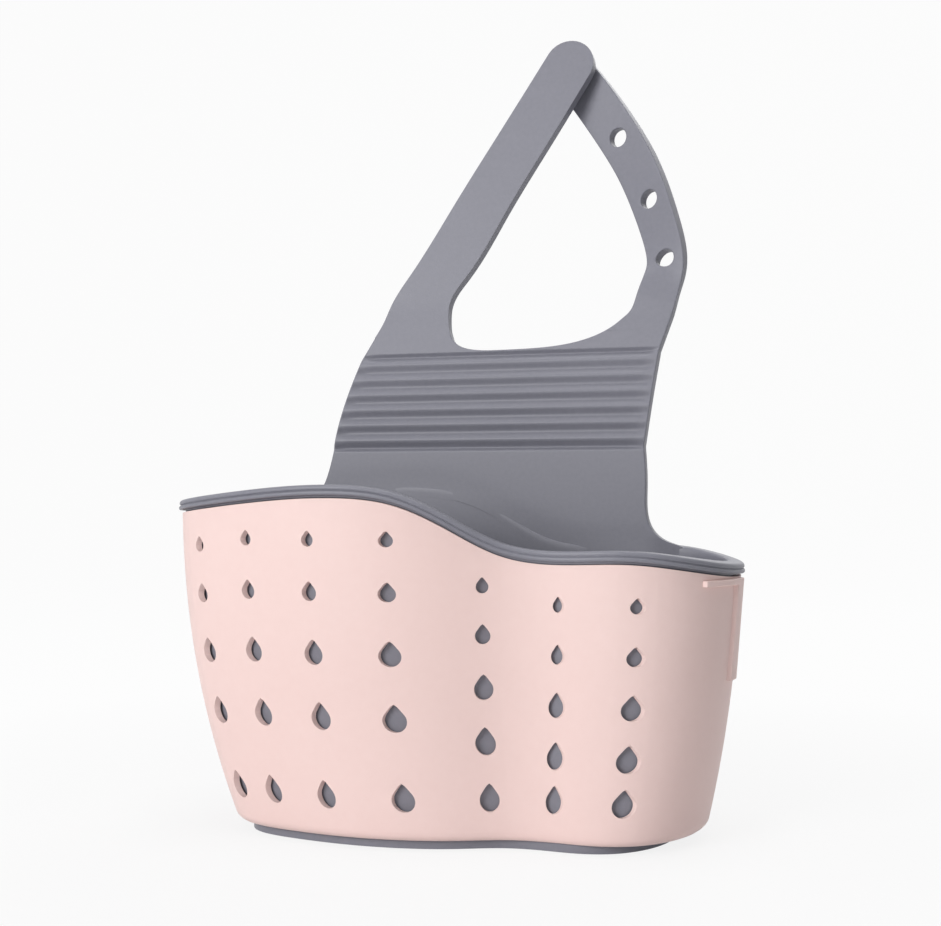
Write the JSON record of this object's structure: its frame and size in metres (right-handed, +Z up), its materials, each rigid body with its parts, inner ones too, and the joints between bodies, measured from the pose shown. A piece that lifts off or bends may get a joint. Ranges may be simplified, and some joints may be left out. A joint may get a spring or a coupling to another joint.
{
  "type": "kitchen sink caddy",
  "caption": "Sink caddy: a hard drain basket with drop-shaped holes round a soft liner, whose ribbed strap snaps shut in a loop over a tap.",
  "frame": {"origin": "in the plane of the foot's underside, near its middle", "axes": "+Z up, +X to the right seen from the front, -Y towards the front"},
  "size_m": [0.1726, 0.1009, 0.253],
  "materials": {
    "hard_pink": "satin moulded polypropylene",
    "soft_grey": "smooth satin soft rubber"
  },
  "bodies": {
    "shell": {"outer_shell": "hard_pink"},
    "liner": {"liner_wall": "soft_grey", "drain_floor": "soft_grey", "liner_foot": "soft_grey", "liner_rim": "soft_grey", "back_panel": "soft_grey"},
    "rib_1": {"flex_rib_1": "soft_grey"},
    "rib_2": {"flex_rib_2": "soft_grey"},
    "rib_3": {"flex_rib_3": "soft_grey"},
    "rib_4": {"flex_rib_4": "soft_grey"},
    "rib_5": {"flex_rib_5": "soft_grey"},
    "rib_6": {"flex_rib_6": "soft_grey"},
    "yoke": {"strap_yoke": "soft_grey"},
    "left_arm_band": {"left_arm": "soft_grey", "snap_stud": "soft_grey"},
    "right_arm_band": {"right_arm": "soft_grey"}
  },
  "joints": [
    {"name": "liner_lift", "type": "slide", "parent": "shell", "child": "liner", "axis": [0, 0, 1], "range_m": [0, 0.115]},
    {"name": "strap_flex_1", "type": "hinge", "parent": "liner", "child": "rib_1", "pos_m": [0, 0.0318, 0.1168], "axis": [1, 0, 0], "range_deg": [-13, 4], "stiffness_Nm_per_rad": 0.5},
    {"name": "strap_flex_2", "type": "hinge", "parent": "rib_1", "child": "rib_2", "pos_m": [0, 0.03197, 0.1218], "axis": [1, 0, 0], "range_deg": [-13, 4], "stiffness_Nm_per_rad": 0.5},
    {"name": "strap_flex_3", "type": "hinge", "parent": "rib_2", "child": "rib_3", "pos_m": [0, 0.03232, 0.12679], "axis": [1, 0, 0], "range_deg": [-13, 4], "stiffness_Nm_per_rad": 0.5},
    {"name": "strap_flex_4", "type": "hinge", "parent": "rib_3", "child": "rib_4", "pos_m": [0, 0.03285, 0.13176], "axis": [1, 0, 0], "range_deg": [-13, 4], "stiffness_Nm_per_rad": 0.5},
    {"name": "strap_flex_5", "type": "hinge", "parent": "rib_4", "child": "rib_5", "pos_m": [0, 0.03354, 0.13671], "axis": [1, 0, 0], "range_deg": [-13, 4], "stiffness_Nm_per_rad": 0.5},
    {"name": "strap_flex_6", "type": "hinge", "parent": "rib_5", "child": "rib_6", "pos_m": [0, 0.03441, 0.14163], "axis": [1, 0, 0], "range_deg": [-13, 4], "stiffness_Nm_per_rad": 0.5},
    {"name": "strap_flex_7", "type": "hinge", "parent": "rib_6", "child": "yoke", "pos_m": [0, 0.03545, 0.14652], "axis": [1, 0, 0], "range_deg": [-13, 4], "stiffness_Nm_per_rad": 0.5},
    {"name": "left_arm_open", "type": "hinge", "parent": "yoke", "child": "left_arm_band", "pos_m": [-0.02585, 0.0398, 0.16399], "axis": [1, 0, 0], "range_deg": [0, 60], "stiffness_Nm_per_rad": 0.25},
    {"name": "right_arm_open", "type": "hinge", "parent": "yoke", "child": "right_arm_band", "pos_m": [0.05375, 0.0398, 0.16399], "axis": [-1, 0, 0], "range_deg": [0, 60], "stiffness_Nm_per_rad": 0.25}
  ]
}
